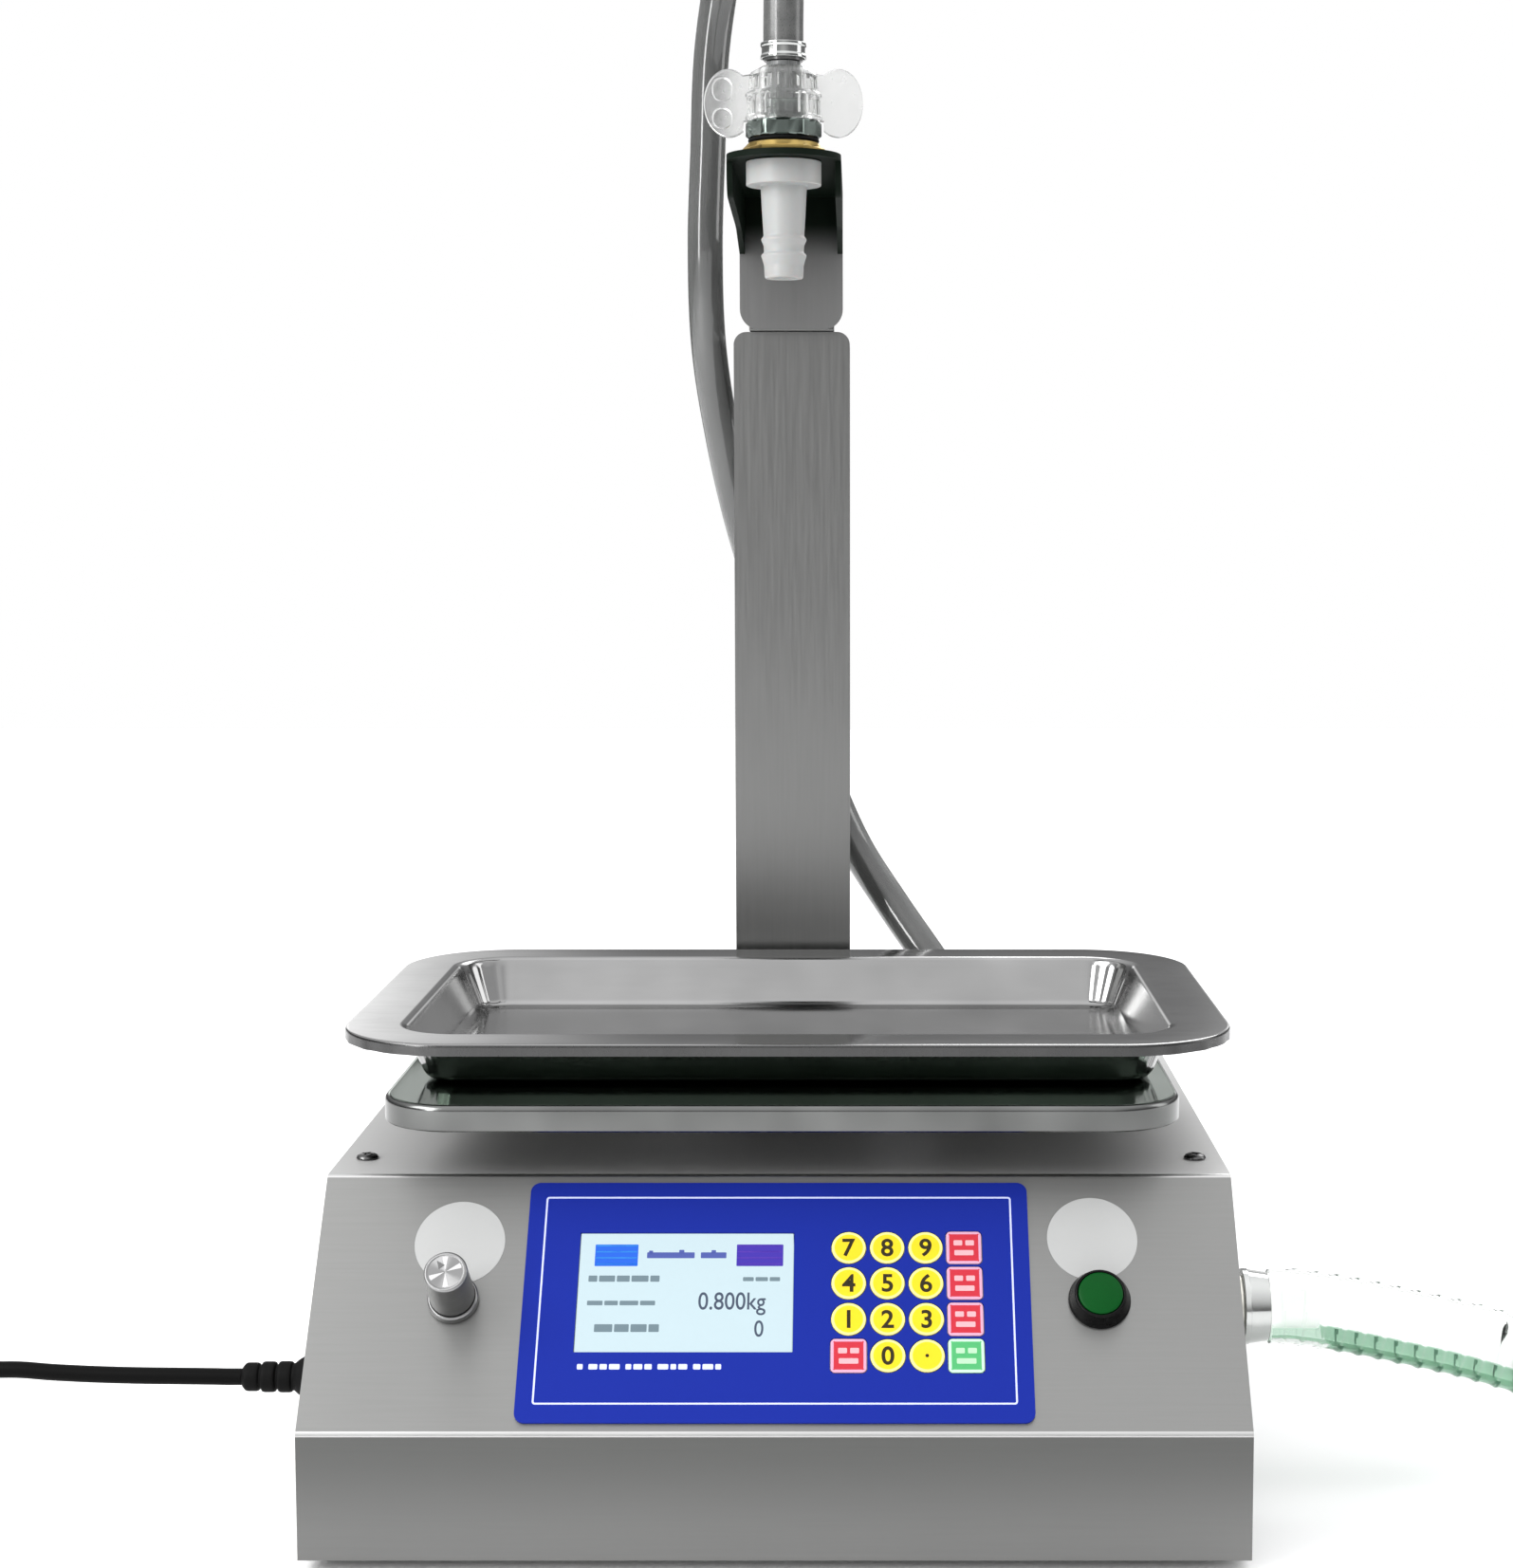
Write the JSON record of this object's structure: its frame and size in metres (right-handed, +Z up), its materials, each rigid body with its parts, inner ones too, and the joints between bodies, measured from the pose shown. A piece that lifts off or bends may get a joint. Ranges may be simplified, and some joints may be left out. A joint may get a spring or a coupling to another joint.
{
  "type": "liquid filling machine",
  "caption": "Bench-top weighing liquid filler: sloped keypad housing, tray on a load cell, height-adjustable arm with a nozzle, ribbed suction hose and mains lead.",
  "frame": {"origin": "on the table under the middle of the machine's own box, measured without its cord and hoses", "axes": "+Z up, the keypad and display face -Y, +X towards the suction port"},
  "size_m": [1.2013, 0.3649, 0.7031],
  "materials": {
    "brushed_steel": "fine vertical brushing, grey",
    "polished_steel": "bright, pressed, half polished",
    "black_rubber": "matte black",
    "blue_overlay": "satin printed film, deep blue",
    "yellow_key": "satin yellow",
    "red_key": "satin red",
    "green_key": "satin to gloss green",
    "display_glass": "pale lit liquid crystal window",
    "green_laminate": "circuit board green",
    "brass": "machined",
    "aluminium": "turned, bright",
    "black_plastic": "black, slightly glossy",
    "white_nylon": "off-white moulded",
    "chrome": "bright plated",
    "clear_plastic": "clear, slightly frosted"
  },
  "bodies": {
    "machine": {"housing_cover": "brushed_steel", "cover_screw_left": "brushed_steel", "cover_screw_right": "brushed_steel", "base_plate": "brushed_steel", "rear_panel": "brushed_steel", "column": "brushed_steel", "pump_motor": "brushed_steel", "power_supply": "brushed_steel", "foot_front_left": "black_rubber", "foot_front_right": "black_rubber", "foot_rear_left": "black_rubber", "foot_rear_right": "black_rubber", "strain_relief": "black_rubber", "power_cord": "black_rubber", "power_cord_coil": "black_rubber", "power_plug": "black_rubber", "keypad_overlay": "blue_overlay", "display": "display_glass", "control_board": "green_laminate", "potentiometer": "brass", "load_cell": "aluminium", "start_button_body": "black_plastic", "suction_strainer": "black_plastic", "pump_head": "black_plastic", "outlet_fitting": "chrome", "inlet_fitting": "chrome", "suction_hose": "clear_plastic", "pump_hose": "clear_plastic"},
    "platform": {"weigh_platform": "brushed_steel", "platform_spider": "aluminium"},
    "tray": {"tray": "polished_steel"},
    "arm": {"arm_bar": "brushed_steel", "arm_bracket": "brushed_steel", "nozzle": "white_nylon", "nozzle_nut": "brass", "sealing_ring": "black_rubber", "hex_adapter": "chrome", "hose_tail": "clear_plastic", "hose_clamp": "chrome", "output_hose": "clear_plastic"},
    "wing_nut": {"wing_nut": "clear_plastic"},
    "arm_clamp_knob": {"arm_clamp_knob": "black_plastic"},
    "flow_knob": {"flow_knob": "aluminium"},
    "start_button": {"start_button_cap": "green_key"},
    "key_7": {"key_7": "yellow_key"},
    "key_8": {"key_8": "yellow_key"},
    "key_9": {"key_9": "yellow_key"},
    "key_a": {"key_a": "red_key"},
    "key_4": {"key_4": "yellow_key"},
    "key_5": {"key_5": "yellow_key"},
    "key_6": {"key_6": "yellow_key"},
    "key_b": {"key_b": "red_key"},
    "key_1": {"key_1": "yellow_key"},
    "key_2": {"key_2": "yellow_key"},
    "key_3": {"key_3": "yellow_key"},
    "key_c": {"key_c": "red_key"},
    "key_d": {"key_d": "red_key"},
    "key_0": {"key_0": "yellow_key"},
    "key_dot": {"key_dot": "yellow_key"},
    "key_e": {"key_e": "green_key"}
  },
  "joints": [
    {"name": "platform_press", "type": "slide", "parent": "machine", "child": "platform", "axis": [0, 0, 1], "range_m": [-0.0005, 0], "stiffness_N_per_m": 60000, "springref_m": 0.0005, "deforming": ["load_cell"]},
    {"name": "tray_lift", "type": "slide", "parent": "platform", "child": "tray", "axis": [0, 0, 1], "range_m": [0, 0.05]},
    {"name": "arm_height", "type": "slide", "parent": "machine", "child": "arm", "axis": [0, 0, 1], "range_m": [0, 0.08], "deforming": ["output_hose"]},
    {"name": "arm_clamp_turn", "type": "hinge", "parent": "machine", "child": "arm_clamp_knob", "pos_m": [-0.0212, 0.1585, 0.4625], "axis": [0, 1, 0], "range_deg": [0, 180]},
    {"name": "wing_nut_turn", "type": "hinge", "parent": "arm", "child": "wing_nut", "pos_m": [-0.0212, -0.0035, 0.57], "axis": [0, 0, 1], "range_deg": [0, 270]},
    {"name": "flow_knob_turn", "type": "hinge", "parent": "machine", "child": "flow_knob", "pos_m": [-0.1462, -0.14315, 0.09482], "axis": [0, -0.756, 0.6546], "range_deg": [-195, 105]},
    {"name": "start_button_press", "type": "slide", "parent": "machine", "child": "start_button", "axis": [0, 0.756, -0.6546], "range_m": [0, 0.0022], "stiffness_N_per_m": 900, "springref_m": -0.001},
    {"name": "key_7_press", "type": "slide", "parent": "machine", "child": "key_7", "axis": [0, 0.756, -0.6546], "range_m": [0, 0.0004], "stiffness_N_per_m": 1500, "springref_m": -0.0003},
    {"name": "key_8_press", "type": "slide", "parent": "machine", "child": "key_8", "axis": [0, 0.756, -0.6546], "range_m": [0, 0.0004], "stiffness_N_per_m": 1500, "springref_m": -0.0003},
    {"name": "key_9_press", "type": "slide", "parent": "machine", "child": "key_9", "axis": [0, 0.756, -0.6546], "range_m": [0, 0.0004], "stiffness_N_per_m": 1500, "springref_m": -0.0003},
    {"name": "key_a_press", "type": "slide", "parent": "machine", "child": "key_a", "axis": [0, 0.756, -0.6546], "range_m": [0, 0.0004], "stiffness_N_per_m": 1500, "springref_m": -0.0003},
    {"name": "key_4_press", "type": "slide", "parent": "machine", "child": "key_4", "axis": [0, 0.756, -0.6546], "range_m": [0, 0.0004], "stiffness_N_per_m": 1500, "springref_m": -0.0003},
    {"name": "key_5_press", "type": "slide", "parent": "machine", "child": "key_5", "axis": [0, 0.756, -0.6546], "range_m": [0, 0.0004], "stiffness_N_per_m": 1500, "springref_m": -0.0003},
    {"name": "key_6_press", "type": "slide", "parent": "machine", "child": "key_6", "axis": [0, 0.756, -0.6546], "range_m": [0, 0.0004], "stiffness_N_per_m": 1500, "springref_m": -0.0003},
    {"name": "key_b_press", "type": "slide", "parent": "machine", "child": "key_b", "axis": [0, 0.756, -0.6546], "range_m": [0, 0.0004], "stiffness_N_per_m": 1500, "springref_m": -0.0003},
    {"name": "key_1_press", "type": "slide", "parent": "machine", "child": "key_1", "axis": [0, 0.756, -0.6546], "range_m": [0, 0.0004], "stiffness_N_per_m": 1500, "springref_m": -0.0003},
    {"name": "key_2_press", "type": "slide", "parent": "machine", "child": "key_2", "axis": [0, 0.756, -0.6546], "range_m": [0, 0.0004], "stiffness_N_per_m": 1500, "springref_m": -0.0003},
    {"name": "key_3_press", "type": "slide", "parent": "machine", "child": "key_3", "axis": [0, 0.756, -0.6546], "range_m": [0, 0.0004], "stiffness_N_per_m": 1500, "springref_m": -0.0003},
    {"name": "key_c_press", "type": "slide", "parent": "machine", "child": "key_c", "axis": [0, 0.756, -0.6546], "range_m": [0, 0.0004], "stiffness_N_per_m": 1500, "springref_m": -0.0003},
    {"name": "key_d_press", "type": "slide", "parent": "machine", "child": "key_d", "axis": [0, 0.756, -0.6546], "range_m": [0, 0.0004], "stiffness_N_per_m": 1500, "springref_m": -0.0003},
    {"name": "key_0_press", "type": "slide", "parent": "machine", "child": "key_0", "axis": [0, 0.756, -0.6546], "range_m": [0, 0.0004], "stiffness_N_per_m": 1500, "springref_m": -0.0003},
    {"name": "key_dot_press", "type": "slide", "parent": "machine", "child": "key_dot", "axis": [0, 0.756, -0.6546], "range_m": [0, 0.0004], "stiffness_N_per_m": 1500, "springref_m": -0.0003},
    {"name": "key_e_press", "type": "slide", "parent": "machine", "child": "key_e", "axis": [0, 0.756, -0.6546], "range_m": [0, 0.0004], "stiffness_N_per_m": 1500, "springref_m": -0.0003}
  ]
}
